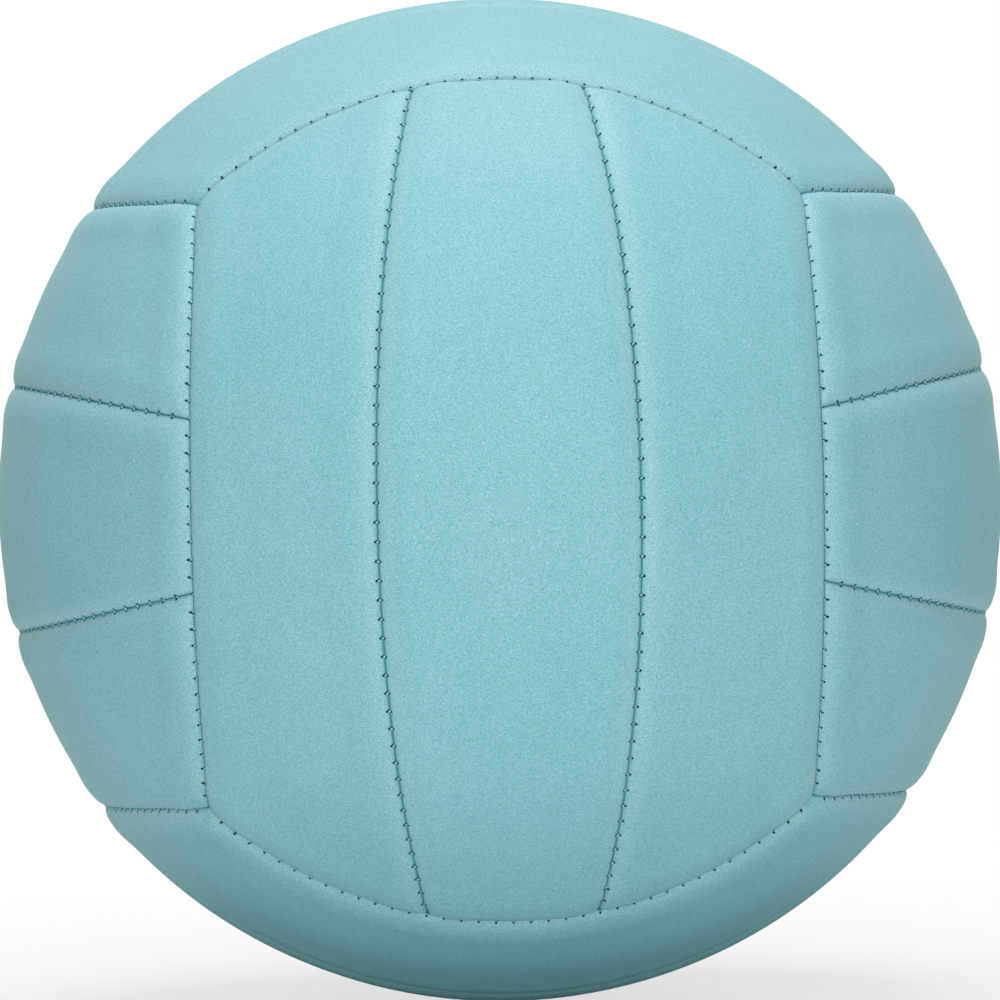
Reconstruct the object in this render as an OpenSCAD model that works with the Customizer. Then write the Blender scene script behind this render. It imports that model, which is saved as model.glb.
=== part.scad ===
// Machine-sewn volleyball: six groups of three strips, a sponge backing behind every strip,
// a rubber bladder, and a needle valve whose core pulls out of its housing.
// The ball's centre is the origin. One group faces -Y with its strips upright, and the
// valve is on +Y. Lengths are in millimetres and angles in degrees.

/* [Ball] */
// Diameter over the crowns of the strips
ball_d = 210; // [190:1:230]

/* [Seam layout] */
// Angle from the middle of a group to the middle of its long side seam
group_half_angle = 36.5; // [35.5:0.1:38]
// Angle from the middle of a group to the middle of a strip seam
strip_half_angle = 14.2; // [12:0.1:16]
// Half width of the middle strip at its ends, as a share of the ball's radius
strip_end_share = 0.163; // [0.12:0.001:0.2]

/* [Cover strips] */
// Thickness of the synthetic leather
cover_t = 0.9; // [0.6:0.1:1.3]
// Radius at which a strip's edge turns down into the seam
edge_round = 2.6; // [2.2:0.1:3.4]
// Gap between the turned edges of two strips
seam_gap = 0.1; // [0.04:0.02:0.3]

/* [Backing] */
// Thickness of the sponge behind a strip
sponge_t = 2.5; // [1.5:0.1:4]
// Thickness of the cloth lining behind the sponge
lining_t = 0.4; // [0.2:0.1:0.8]
// Thickness of each line of glue
glue_line = 0.1; // [0.05:0.05:0.2]

/* [Thread] */
// Diameter of the sewing thread
thread_d = 0.5; // [0.3:0.05:0.8]

/* [Bladder] */
// Thickness of the bladder's rubber wall
bladder_wall = 0.7; // [0.5:0.1:1.5]

/* [Valve] */
// Diameter of the valve housing's stem
stem_d = 9; // [8.2:0.1:12]
// Length of the stem
stem_l = 20; // [17:0.5:26]
// Gap between the stem and the hole in the cover
stem_gap = 0.2; // [0.1:0.05:0.5]
// Depth of the stem's face below the crown of its strip
stem_recess = 0.4; // [0.2:0.1:1]
// Diameter of the flange that is bonded inside the bladder
flange_d = 26; // [18:0.5:34]
// Thickness of that flange
flange_t = 1.2; // [0.8:0.1:2]
// Diameter of the cloth patch around the stem
patch_d = 32; // [20:0.5:40]
// Thickness of that patch
patch_t = 0.3; // [0.2:0.05:0.6]
// Diameter of the valve core
core_d = 5; // [4:0.1:5.6]
// Length of the core under its head
core_l = 14; // [11:0.5:15.5]
// Running clearance around the core, on the radius
core_clearance = 0.05; // [0.03:0.01:0.08]
// Diameter of the core's head
head_d = 6.8; // [6:0.1:7.4]
// Thickness of that head
head_t = 1.2; // [0.8:0.1:2]
// Diameter of the needle bore
needle_bore_d = 2.2; // [2:0.1:2.6]
// Length of the straight part of the needle bore
needle_bore_l = 5; // [4:0.5:7]
// Diameter of the funnel that leads a needle in
funnel_d = 3.8; // [3.2:0.1:4.6]
// Depth of that funnel
funnel_depth = 1.4; // [1:0.1:2]
// Width of the sealing slit behind the needle bore
slit_w = 0.12; // [0.08:0.02:0.2]

/* [Hidden] */
$fn = 96;
GROUPS = ["front", "back", "left", "right", "bottom", "top"];
// The three strips of each group, from its first side to its last.
STRIPS = [
    ["left", "middle", "right"],
    ["right", "middle", "left"],
    ["lower", "middle", "upper"],
    ["lower", "middle", "upper"],
    ["front", "middle", "rear"],
    ["front", "middle", "rear"],
];
LAYERS = ["cover", "sponge", "lining"];
VALVE_GROUP = 1;
FIRST = 0;
MIDDLE = 1;
LAST = 2;
// The four seams of a strip.
NEAR = 0;
FAR = 1;
UPPER = 2;
LOWER = 3;

LEATHER = [0.55, 0.80, 0.83];
SPONGE = [0.93, 0.93, 0.89];
CLOTH = [0.88, 0.85, 0.76];
THREAD = [0.06, 0.42, 0.47];
RUBBER = [0.10, 0.10, 0.11];
CORE_RUBBER = [0.17, 0.17, 0.18];

ball_r = ball_d / 2;
stem_r = stem_d / 2;
thread_r = thread_d / 2;
// How far the edge rounding's arc reaches past the crown and past the wall, so that it
// crosses both at a slight angle.
arc_bite = edge_round / 30;
// Overrun of every cutting shape.
cut_over = edge_round;
// Clearance between the thread and what it lies on or meets.
thread_clearance = seam_gap / 3;
// Shares of the ball's radius that the cutting shapes span with some to spare.
blank_reach_share = 0.57;
wall_reach_share = 0.24;
blank_reach = blank_reach_share * ball_r;
wall_reach = wall_reach_share * ball_r;
// Angles by which each cutting shape runs on past the end of a strip seam, the longest seam.
blank_overrun = 12;
wall_overrun = 8;
edge_overrun = 7;
// Lean of the walls, the same on both sides of a seam.
wall_lean = 3;

// Radii of the layers, from the crown inwards.
sponge_r = ball_r - cover_t - glue_line;
lining_r = sponge_r - sponge_t - glue_line;
turned_edge_r = lining_r - lining_t;
patch_r = turned_edge_r - glue_line;
bladder_r = patch_r;
bladder_bore_r = bladder_r - bladder_wall;
// The bladder steps in by this much around the patch.
patch_dent = patch_t + glue_line;
flange_r = bladder_bore_r - patch_dent - glue_line;

// A seam is an arc of a circle on the ball, so it lies on a cone about an axis through the
// ball's centre. Its tilt turns that axis away from the side of the group, and its polar
// angle is the cone's. A group seam ends at the corners of a cube on the ball.
cube_corner_share = 1 / sqrt(3);
group_tilt = atan2(sin(group_half_angle) - cube_corner_share, cos(group_half_angle) - cube_corner_share);
group_polar = 90 - group_half_angle + group_tilt;
group_span = asin(cube_corner_share / sin(group_polar));
// A strip seam ends on the group seam that closes the ends of its strips.
end_share = sqrt(1 - pow(strip_end_share, 2));
end_angle = acos(cos(group_polar) / end_share) - group_tilt;
strip_tilt = atan2(
    sin(strip_half_angle) - strip_end_share,
    cos(strip_half_angle) - end_share * cos(end_angle)
);
strip_polar = 90 - strip_half_angle + strip_tilt;
strip_span = asin(end_share * sin(end_angle) / sin(strip_polar));
blank_span = strip_span + blank_overrun;
wall_span = strip_span + wall_overrun;
edge_span = strip_span + edge_overrun;

// The valve's places along +Y.
stem_face = ball_r - stem_recess;
stem_foot = stem_face - stem_l;
head_seat = stem_face - head_t;
core_foot = head_seat - core_l;
needle_bore_top = stem_face - funnel_depth;
needle_bore_foot = needle_bore_top - needle_bore_l;

function strip_node(g, s, layer) = str(GROUPS[g], "_", STRIPS[g][s], "_", layer);

// Whether strip s lies outside the cone of one of its seams.
function lies_outside(s, seam) = seam == FAR || (seam == NEAR && s == MIDDLE);

// Polar angle of the cone of one of strip s's seams.
function seam_polar(s, seam) = seam == NEAR || (seam == FAR && s == MIDDLE) ? strip_polar : group_polar;

// Centre of the edge rounding, for a strip whose crown is at radius r and whose wall stands
// off the seam by inset: its distance from the seam's line, and along that line.
function rounding_offset(inset, round_r) = inset + round_r - arc_bite;
function rounding_height(r, inset, round_r) =
    sqrt(pow(r - round_r, 2) - pow(rounding_offset(inset, round_r), 2)) + arc_bite;

// Turns the front group into group number g.
module place_group(g) {
    if (g == 0) children();
    if (g == 1) rotate([0, 0, 180]) children();
    if (g == 2) rotate(240, [1, 1, 1]) children();
    if (g == 3) rotate([0, 0, 180]) rotate(240, [1, 1, 1]) children();
    if (g == 4) rotate(120, [1, 1, 1]) children();
    if (g == 5) rotate([0, 180, 0]) rotate(120, [1, 1, 1]) children();
}

// Puts a shape about +Z onto the axis of the front group's side seam at +X. The middle of
// the seam comes from -Y.
module on_side_axis(tilt) {
    rotate([0, 0, tilt]) rotate([0, 90, 0]) children();
}

// The same for the seam that closes the front group's upper end.
module on_end_axis() {
    rotate([90 + group_tilt, 0, 0]) rotate([0, 0, 180]) children();
}

// The same for one of the four seams of the front group's strip s.
module on_seam(s, seam) {
    if (seam == NEAR) mirror([s == LAST ? 0 : 1, 0, 0]) on_side_axis(strip_tilt) children();
    if (seam == FAR) {
        mirror([s == FIRST ? 1 : 0, 0, 0])
            on_side_axis(s == MIDDLE ? strip_tilt : group_tilt) children();
    }
    if (seam == UPPER) on_end_axis() children();
    if (seam == LOWER) mirror([0, 0, 1]) on_end_axis() children();
}

// Leans an outline's wall with the seam, about the height of the edge rounding.
module leaning(s, seam) {
    pivot_r = ball_r - edge_round;
    translate([0, pivot_r]) rotate(lies_outside(s, seam) ? wall_lean : -wall_lean)
        translate([0, -pivot_r]) children();
}

// Revolves an outline about the axis of one of strip s's seams, through span to each side
// of its middle. In the outline the seam's line is +Y and the strip is at +X.
module along_seam(s, seam, span) {
    on_seam(s, seam) rotate([0, 0, -90 - span]) rotate_extrude(angle = 2 * span)
        rotate(-seam_polar(s, seam)) mirror([lies_outside(s, seam) ? 0 : 1, 0, 0]) children();
}

// A piece of shell from a strip's near seam to beyond its other seams.
module strip_blank(s, r_out, r_in, inset) {
    along_seam(s, NEAR, blank_span) intersection() {
        difference() {
            circle(r_out);
            circle(r_in);
        }
        leaning(s, NEAR) translate([inset, ball_r - wall_reach]) square([blank_reach, wall_reach + cut_over]);
    }
}

// What lies beyond the wall at one of a strip's seams.
module beyond_wall(s, seam, inset) {
    along_seam(s, seam, wall_span) leaning(s, seam)
        translate([inset - blank_reach, ball_r - wall_reach]) square([blank_reach, wall_reach + cut_over]);
}

// What the rounding takes off the edge at one of a strip's seams.
module off_edge(s, seam, r_out, inset, round_r) {
    height = rounding_height(r_out, inset, round_r);
    along_seam(s, seam, edge_span) difference() {
        translate([inset - cut_over, height]) square([round_r + cut_over, 2 * cut_over]);
        translate([rounding_offset(inset, round_r), height]) circle(round_r);
    }
}

// One strip's share of the shell between radii r_in and r_out, in the front group. Its wall
// stands off its seams by inset.
module strip_shell(s, r_out, r_in, inset) {
    difference() {
        difference() {
            difference() {
                strip_blank(s, r_out, r_in, inset);
                beyond_wall(s, FAR, inset);
            }
            beyond_wall(s, UPPER, inset);
        }
        beyond_wall(s, LOWER, inset);
    }
}

// The same with its outer edges rounded.
module rounded_strip_shell(s, r_out, r_in, inset, round_r) {
    difference() {
        difference() {
            difference() {
                difference() {
                    strip_shell(s, r_out, r_in, inset);
                    off_edge(s, NEAR, r_out, inset, round_r);
                }
                off_edge(s, FAR, r_out, inset, round_r);
            }
            off_edge(s, UPPER, r_out, inset, round_r);
        }
        off_edge(s, LOWER, r_out, inset, round_r);
    }
}

// Puts a shape about +Z, with z as the distance from the ball's centre, at the valve.
module at_valve() {
    rotate([-90, 0, 0]) children();
}

// The hole that the valve's stem needs in group g's strip s, with a gap all round.
module valve_hole(g, s, gap) {
    if (g == VALVE_GROUP && s == MIDDLE) {
        at_valve() translate([0, 0, flange_r - cut_over]) cylinder(r = stem_r + gap, h = ball_r);
    }
}

// A leather strip with its edges turned in all round, as they are sewn.
module cover(g, s) {
    wall_inset = seam_gap / 2;
    color(LEATHER) difference() {
        place_group(g) difference() {
            rounded_strip_shell(s, ball_r, turned_edge_r, wall_inset, edge_round);
            rounded_strip_shell(
                s, ball_r - cover_t, turned_edge_r - cut_over, wall_inset + cover_t, edge_round - cover_t
            );
        }
        valve_hole(g, s, stem_gap);
    }
}

// The sponge that fills the hollow of a strip.
module sponge(g, s) {
    inset = seam_gap / 2 + cover_t + glue_line;
    color(SPONGE) difference() {
        place_group(g) rounded_strip_shell(
            s, sponge_r, sponge_r - sponge_t, inset, edge_round - cover_t - glue_line
        );
        valve_hole(g, s, stem_gap);
    }
}

// The cloth lining behind the sponge.
module lining(g, s) {
    inset = seam_gap / 2 + cover_t + glue_line;
    color(CLOTH) difference() {
        place_group(g) strip_shell(s, lining_r, turned_edge_r, inset);
        valve_hole(g, s, stem_gap);
    }
}

// Thread in the valley of one seam about +Z. It lies on both rounded edges, and stops short
// of the seams that it meets. Azimuth middle is the middle of the seam.
module seam_thread(polar, middle, span) {
    wall_inset = seam_gap / 2;
    reach = edge_round + thread_r + thread_clearance;
    height = rounding_height(ball_r, wall_inset, edge_round)
        + sqrt(pow(reach, 2) - pow(rounding_offset(wall_inset, edge_round), 2));
    end_angle_left = (thread_d + thread_clearance) / height * 180 / PI / sin(polar);
    half = span - end_angle_left;
    rotate([0, 0, middle - half]) rotate_extrude(angle = 2 * half)
        translate([height * sin(polar), height * cos(polar)]) circle(thread_r);
}

// The two seams inside every group.
module strip_seam_threads() {
    color(THREAD) for (g = [0 : 5]) place_group(g) for (side = [0, 1]) {
        mirror([side, 0, 0]) on_side_axis(strip_tilt) seam_thread(strip_polar, -90, strip_span);
    }
}

// The seams between groups: two long sides of every group.
module group_seam_threads() {
    color(THREAD) for (g = [0 : 5]) place_group(g) for (side = [0, 1]) {
        mirror([side, 0, 0]) on_side_axis(group_tilt) seam_thread(group_polar, -90, group_span);
    }
}

// Revolves the half of an outline at +X about the valve's axis, which is +Y in the outline.
module around_valve() {
    at_valve() rotate_extrude() intersection() {
        translate([0, -ball_d]) square([ball_d, 2 * ball_d]);
        children();
    }
}

// Outline of a disc curved with the ball, between radii r_in and r_out.
module curved_disc(d, r_out, r_in) {
    intersection() {
        difference() {
            circle(r_out);
            circle(r_in);
        }
        translate([-d / 2, 0]) square([d, ball_d]);
    }
}

// Outline of a ball of radius r with a round step in its surface at the valve.
module dented_ball(r, dent_d) {
    difference() {
        circle(r);
        curved_disc(dent_d, r + cut_over, r - patch_dent);
    }
}

// The airtight rubber bladder. It steps in around the patch, and its hole is bonded to the stem.
module bladder() {
    dent_d = patch_d + 2 * glue_line;
    hole_r = stem_r + glue_line;
    color(RUBBER) around_valve() difference() {
        dented_ball(bladder_r, dent_d);
        dented_ball(bladder_bore_r, dent_d + 2 * bladder_wall);
        translate([-hole_r, 0]) square([2 * hole_r, ball_d]);
    }
}

// The cloth patch that strengthens the lining around the stem.
module valve_patch() {
    hole_r = stem_r + stem_gap;
    color(CLOTH) around_valve() difference() {
        curved_disc(patch_d, patch_r, patch_r - patch_t);
        translate([-hole_r, 0]) square([2 * hole_r, ball_d]);
    }
}

// The rubber housing: a stem through bladder and cover, and a flange inside the bladder.
module valve_housing() {
    bore_r = core_d / 2 + core_clearance;
    seat_r = head_d / 2 + core_clearance;
    color(RUBBER) around_valve() difference() {
        union() {
            curved_disc(flange_d, flange_r, flange_r - flange_t);
            translate([-stem_r, stem_foot]) square([stem_d, stem_l]);
        }
        translate([-bore_r, stem_foot - cut_over]) square([2 * bore_r, stem_l + 2 * cut_over]);
        translate([-seat_r, head_seat - core_clearance]) square([2 * seat_r, head_t + cut_over]);
    }
}

// The core: a headed plug with a funnel, a needle bore and a slit that closes behind the needle.
module valve_core() {
    color(CORE_RUBBER) at_valve() difference() {
        union() {
            translate([0, 0, core_foot]) cylinder(d = core_d, h = core_l + head_t);
            translate([0, 0, head_seat]) cylinder(d = head_d, h = head_t);
        }
        translate([0, 0, needle_bore_foot]) cylinder(d = needle_bore_d, h = needle_bore_l + cut_over);
        translate([0, 0, needle_bore_top])
            cylinder(d1 = needle_bore_d, d2 = funnel_d, h = funnel_depth);
        translate([-needle_bore_d / 2, -slit_w / 2, core_foot - cut_over])
            cube([needle_bore_d, slit_w, needle_bore_foot - core_foot + 2 * cut_over]);
    }
}

for (g = [0 : 5]) for (s = [0 : 2]) {
    cover(g, s);
    sponge(g, s);
    lining(g, s);
}
strip_seam_threads();
group_seam_threads();
bladder();
valve_patch();
valve_housing();
valve_core();
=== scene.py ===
# %% [markdown]
# # A machine-sewn volleyball
#
# The ball is eighteen strips of synthetic leather in six groups of three. Each strip has its
# edges turned in and sewn to its neighbours, over a sponge backing, a cloth lining and a
# rubber bladder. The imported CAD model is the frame: it says where every piece is, and how big.
# This script dresses it: soft rounded seams, stitches, fine leather grain, foam, cloth and
# rubber.

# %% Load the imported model
import math
import random
from collections import namedtuple

import bmesh
import bpy
import numpy as np
from mathutils import Matrix, Vector


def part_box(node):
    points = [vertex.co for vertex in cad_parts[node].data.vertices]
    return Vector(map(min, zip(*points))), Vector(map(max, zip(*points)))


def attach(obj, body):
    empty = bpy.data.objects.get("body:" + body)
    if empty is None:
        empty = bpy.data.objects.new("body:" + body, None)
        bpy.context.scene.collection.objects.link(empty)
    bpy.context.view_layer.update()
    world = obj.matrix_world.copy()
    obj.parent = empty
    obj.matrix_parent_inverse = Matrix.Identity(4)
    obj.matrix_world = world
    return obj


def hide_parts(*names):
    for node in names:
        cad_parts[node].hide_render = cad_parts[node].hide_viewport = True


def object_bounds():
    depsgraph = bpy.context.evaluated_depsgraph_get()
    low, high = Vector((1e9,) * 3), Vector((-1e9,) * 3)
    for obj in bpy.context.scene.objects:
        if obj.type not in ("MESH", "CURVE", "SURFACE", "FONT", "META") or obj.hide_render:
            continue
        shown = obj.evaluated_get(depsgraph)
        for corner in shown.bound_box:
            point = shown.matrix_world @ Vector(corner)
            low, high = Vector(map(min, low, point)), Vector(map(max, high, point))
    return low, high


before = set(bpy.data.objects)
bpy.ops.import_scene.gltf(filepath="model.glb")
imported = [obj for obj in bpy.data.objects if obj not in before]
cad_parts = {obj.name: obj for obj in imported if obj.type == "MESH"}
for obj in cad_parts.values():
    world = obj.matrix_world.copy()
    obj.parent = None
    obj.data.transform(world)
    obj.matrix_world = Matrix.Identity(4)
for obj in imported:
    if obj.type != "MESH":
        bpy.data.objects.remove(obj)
cad_low, cad_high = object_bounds()
MM = 0.001
BALL_R = (cad_high.x - cad_low.x) / 2
print(f"{len(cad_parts)} nodes, ball radius {BALL_R / MM:.2f} mm")

# %% [markdown]
# ## Where the seams run
#
# Every seam is an arc of a circle on the ball, so it lies on a cone about an axis through the
# centre. The front group faces -Y with its strips upright, and the other five groups are the
# same group turned. A cone needs only its axis and its angle, which is simpler and more exact
# than tracing points along the seam.

# %% The cones of the seams
GROUP_HALF_ANGLE = math.radians(36.5)
STRIP_HALF_ANGLE = math.radians(14.2)
STRIP_END_SHARE = 0.163
CUBE_CORNER = 1 / math.sqrt(3)

group_tilt = math.atan2(
    math.sin(GROUP_HALF_ANGLE) - CUBE_CORNER, math.cos(GROUP_HALF_ANGLE) - CUBE_CORNER
)
group_polar = math.pi / 2 - GROUP_HALF_ANGLE + group_tilt
group_span = math.asin(CUBE_CORNER / math.sin(group_polar))

end_share = math.sqrt(1 - STRIP_END_SHARE**2)
end_angle = math.acos(math.cos(group_polar) / end_share) - group_tilt
strip_tilt = math.atan2(
    math.sin(STRIP_HALF_ANGLE) - STRIP_END_SHARE,
    math.cos(STRIP_HALF_ANGLE) - end_share * math.cos(end_angle),
)
strip_polar = math.pi / 2 - STRIP_HALF_ANGLE + strip_tilt
strip_span = math.asin(end_share * math.sin(end_angle) / math.sin(strip_polar))
print(f"group seam {math.degrees(group_span) * 2:.1f} degrees long,",
      f"strip seam {math.degrees(strip_span) * 2:.1f} degrees long")

# %% The seams around each strip of the front group
LEFT, RIGHT = -1, 1
STRIP_PITCH, GROUP_PITCH = 3.8 * MM, 3.5 * MM
# A seam's cone (its axis and half its opening angle), the pitch of the stitches, and 1 or -1
# for the way in which the stitches and the painted shadows of their creases lean.
Seam = namedtuple("Seam", "axis polar pitch lean")


def long_axis(side, tilt):
    """Axis of an upright seam's cone, to the left or right of the middle."""
    return np.array([side * math.cos(tilt), math.sin(tilt), 0.0])


def end_seam(up):
    """The seam that closes the strips at their upper or lower end."""
    axis = np.array([0.0, -math.cos(group_tilt), -up * math.sin(group_tilt)])
    return Seam(axis, group_polar, GROUP_PITCH, -1)


group_seam = {
    side: Seam(long_axis(side, group_tilt), group_polar, GROUP_PITCH, 1)
    for side in (LEFT, RIGHT)
}
strip_seam = {
    side: Seam(long_axis(side, strip_tilt), strip_polar, STRIP_PITCH, 1)
    for side in (LEFT, RIGHT)
}
# A strip's left and right seam, each with +1 where the strip lies outside the cone, or -1.
STRIP_SIDES = [
    ((group_seam[LEFT], 1), (strip_seam[LEFT], -1)),
    ((strip_seam[LEFT], 1), (strip_seam[RIGHT], 1)),
    ((strip_seam[RIGHT], -1), (group_seam[RIGHT], 1)),
]
STRIP_ENDS = ((end_seam(-1), -1), (end_seam(1), -1))

# %% How each group is turned
DIAGONAL = Vector((1, 1, 1))
HALF_TURN = math.pi
left_turn = Matrix.Rotation(math.radians(240), 4, DIAGONAL)
bottom_turn = Matrix.Rotation(math.radians(120), 4, DIAGONAL)
GROUPS = {
    "front": (Matrix.Identity(4), ("left", "middle", "right")),
    "back": (Matrix.Rotation(HALF_TURN, 4, "Z"), ("right", "middle", "left")),
    "left": (left_turn, ("lower", "middle", "upper")),
    "right": (Matrix.Rotation(HALF_TURN, 4, "Z") @ left_turn, ("lower", "middle", "upper")),
    "bottom": (bottom_turn, ("front", "middle", "rear")),
    "top": (Matrix.Rotation(HALF_TURN, 4, "Y") @ bottom_turn, ("front", "middle", "rear")),
}
print("groups:", ", ".join(GROUPS))

# %% [markdown]
# ## The ball's own form
#
# A blown-up sewn ball is not quite a sphere. The seams of three strips meet at the corners of
# a cube, where the cover is stiff, and the middle of each group is drawn a little flat. Beside
# a seam the turned-in edge is doubled, so a low shoulder stands along it. One formula for the
# height of the crown serves the covers, the threads and the foam, so that they stay together.

# %% Height of the crown over the round ball
FRONT = np.array([0.0, -1.0, 0.0])
FLAT_DEPTH = 0.15 * MM
CORNER_RISE = 0.4 * MM
SHOULDER_RISE = 0.45 * MM
SHOULDER_PLACE = 5.5 * MM
SHOULDER_WIDTH = 3.5 * MM


def crown_rise(p):
    """Height over the round ball, for unit directions p: low at the groups' middles."""
    return CORNER_RISE * (1 - (p**4).sum(-1)) - FLAT_DEPTH


def shoulder(gap):
    """Height of the shoulder at a distance from a seam."""
    return SHOULDER_RISE * np.exp(-(((gap - SHOULDER_PLACE) / SHOULDER_WIDTH) ** 2))


middle_rise = crown_rise(FRONT)
corner_rise = crown_rise(np.full(3, CUBE_CORNER))
print(f"crown {middle_rise / MM:.2f} mm at a group's middle,",
      f"{corner_rise / MM:.2f} mm at a corner")

# %% [markdown]
# ## One strip of leather
#
# On the real ball a strip is cut flat, its edges are folded down and sewn to the next strip
# from behind, and the air pushes it round. It could be cloth-simulated, but the shape is
# simple: a smooth field that rolls down into the seam on all four sides. So a flat grid is
# bent onto the ball. Its lines are offset circles of the seams, close together where the
# edge rolls over, and the grid then gets the thickness of the leather.

# %% Profile across the rolled edge
SEAM_INSET = 0.05 * MM
EDGE_R = 1.1 * MM
SLOPE_R = 5.6 * MM
EDGE_SLOPE = math.radians(22)
TURNED_DOWN = 4.0 * MM
WALL_POINTS, TIGHT_POINTS, WIDE_POINTS = 3, 5, 6


def rolled_edge(inset, edge_r, slope_r):
    """Distances from the seam and drops below the crown, along a tight arc and a wide one."""
    tight = np.linspace(math.pi / 2, EDGE_SLOPE, TIGHT_POINTS)
    wide = np.linspace(EDGE_SLOPE, 0, WIDE_POINTS)[1:]
    gaps = list(inset + edge_r * (1 - np.sin(tight)))
    gaps += list(gaps[-1] + slope_r * (math.sin(EDGE_SLOPE) - np.sin(wide)))
    heights = list(edge_r * np.cos(tight))
    heights += list(heights[-1] + slope_r * (np.cos(wide) - math.cos(EDGE_SLOPE)))
    return np.array(gaps), heights[-1] - np.array(heights)


roll_gaps, roll_drops = rolled_edge(SEAM_INSET, EDGE_R, SLOPE_R)
wall_drops = np.linspace(TURNED_DOWN, roll_drops[0], WALL_POINTS)[:-1]
wall_gaps = np.full(len(wall_drops), SEAM_INSET)
crown_gaps = np.array([3.8, 4.7, 5.7, 6.9, 8.3, 9.8]) * MM
edge_gaps = np.concatenate([wall_gaps, roll_gaps, crown_gaps])
edge_drops = np.concatenate([wall_drops, roll_drops, np.zeros(len(crown_gaps))])
print(f"{len(edge_gaps)} grid lines along each edge, roll {roll_drops[0] / MM:.2f} mm deep")

# %% Grid lines as circles on the ball


def grid_lines(first, last, gaps, drops, inner):
    """Planes of the grid's lines from one seam to the opposite one, and their drops."""
    (seam_a, grow_a), (seam_b, grow_b) = first, last
    near = [(seam_a.axis, math.cos(seam_a.polar + grow_a * g / BALL_R)) for g in gaps]
    far = [(seam_b.axis, math.cos(seam_b.polar + grow_b * g / BALL_R)) for g in gaps[::-1]]
    between = []
    for share in np.linspace(0, 1, inner + 2)[1:-1]:
        # A plane between the innermost two: every such plane passes through the line in
        # which those two cross, so the circles never meet on the strip.
        normal = -grow_a * (1 - share) * seam_a.axis + grow_b * share * seam_b.axis
        level = -grow_a * (1 - share) * near[-1][1] + grow_b * share * far[0][1]
        length = np.linalg.norm(normal)
        between.append((normal / length, level / length))
    planes = near + between + far
    normals = np.array([n for n, _ in planes])
    levels = np.array([c for _, c in planes])
    return normals, levels, np.concatenate([drops, np.zeros(inner), drops[::-1]])


def crossings(columns, rows):
    """Unit directions where the columns' circles cross the rows' on the front of the ball."""
    a, ca = columns[0][:, None, :], columns[1][:, None]
    b, cb = rows[0][None, :, :], rows[1][None, :]
    dot = (a * b).sum(-1)
    spread = 1 - dot**2
    share_a, share_b = (ca - dot * cb) / spread, (cb - dot * ca) / spread
    in_plane = share_a[..., None] * a + share_b[..., None] * b
    cross = np.cross(a, b)
    reach = np.sqrt((1 - (in_plane**2).sum(-1)) / spread)
    return in_plane - (np.sign(cross[..., 1]) * reach)[..., None] * cross


# %% Distances from the seams, and along them


def seam_frame(seam):
    """The direction to a seam's middle, and the direction in which it runs there."""
    middle = FRONT - (FRONT @ seam.axis) * seam.axis
    middle /= np.linalg.norm(middle)
    return middle, np.cross(seam.axis, middle)


def from_seam(p, seam, grow):
    """Distance of each direction from a seam, and its place along it, counted in stitches."""
    middle, along = seam_frame(seam)
    gap = grow * (np.arccos(np.clip(p @ seam.axis, -1, 1)) - seam.polar) * BALL_R
    run = np.arctan2(p @ along, p @ middle) * math.sin(seam.polar) * BALL_R
    return gap, seam.lean * run / seam.pitch


# %% [markdown]
# ## Stitches pull the leather in
#
# A lockstitch joins the two turned edges every few millimetres. Each stitch leaves one edge
# through a small hole, crosses the valley and enters the other edge, and the leather dips a
# little there. The holes' places along a seam are the same for both strips, because both
# measure along the same seam.

# %% Places of the stitches along a seam
PUCKER_DEPTH = 0.14 * MM
PUCKER_REACH = 1.4 * MM
END_CLEAR = 1.5 * MM


def last_stitch(span, polar, pitch):
    """Number of the last stitch from the seam's middle, clear of the seam that it ends on."""
    return math.floor((span * math.sin(polar) * BALL_R - END_CLEAR) / pitch)


group_last = last_stitch(group_span, group_polar, GROUP_PITCH)
strip_last = last_stitch(strip_span, strip_polar, STRIP_PITCH)
print(f"{2 * strip_last + 1} stitches in a strip seam, {2 * group_last + 1} in a group seam")


def pucker(gap, run):
    """Depth of the dips at the stitches."""
    nearest = np.abs((run + 0.5) % 1 - 0.5) * 2
    return PUCKER_DEPTH * (1 - nearest) ** 2 * np.exp(-((gap / PUCKER_REACH) ** 2))


# %% Helpers for meshes


def mesh_from(bm, name):
    """Writes a bmesh out as a new mesh."""
    mesh = bpy.data.meshes.new(name)
    bm.to_mesh(mesh)
    bm.free()
    return mesh


def open_mesh(mesh, unused):
    """The mesh as a bmesh, without the vertices that are marked as unused."""
    bm = bmesh.new()
    bm.from_mesh(mesh)
    bm.verts.ensure_lookup_table()
    verts = [bm.verts[i] for i in np.flatnonzero(unused)]
    bmesh.ops.delete(bm, geom=verts, context="VERTS")
    return bm


def store_values(mesh, **values):
    """Stores one number per vertex under each name."""
    for name, numbers in values.items():
        attribute = mesh.attributes.new(name, "FLOAT", "POINT")
        attribute.data.foreach_set("value", np.asarray(numbers, np.float32))


def faces_outward(bm):
    """Turns the faces over if, taken together, they look inward."""
    bm.normal_update()
    if sum(f.calc_area() * f.normal.dot(f.calc_center_median()) for f in bm.faces) < 0:
        bmesh.ops.reverse_faces(bm, faces=bm.faces[:])


# %% Bend a grid into a strip
INNER_COLUMNS, INNER_ROWS = 27, 233
# Twice the columns around the valve's hole, which takes up this many cells to each side.
VALVE_COLUMNS = 53
VALVE_CELLS = (6, 8)
# Near a corner the drops of both edges count: their powers are added up.
EDGE_BLEND = 3
# A distance for places that have no stitch.
FAR_AWAY = 0.1


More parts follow.
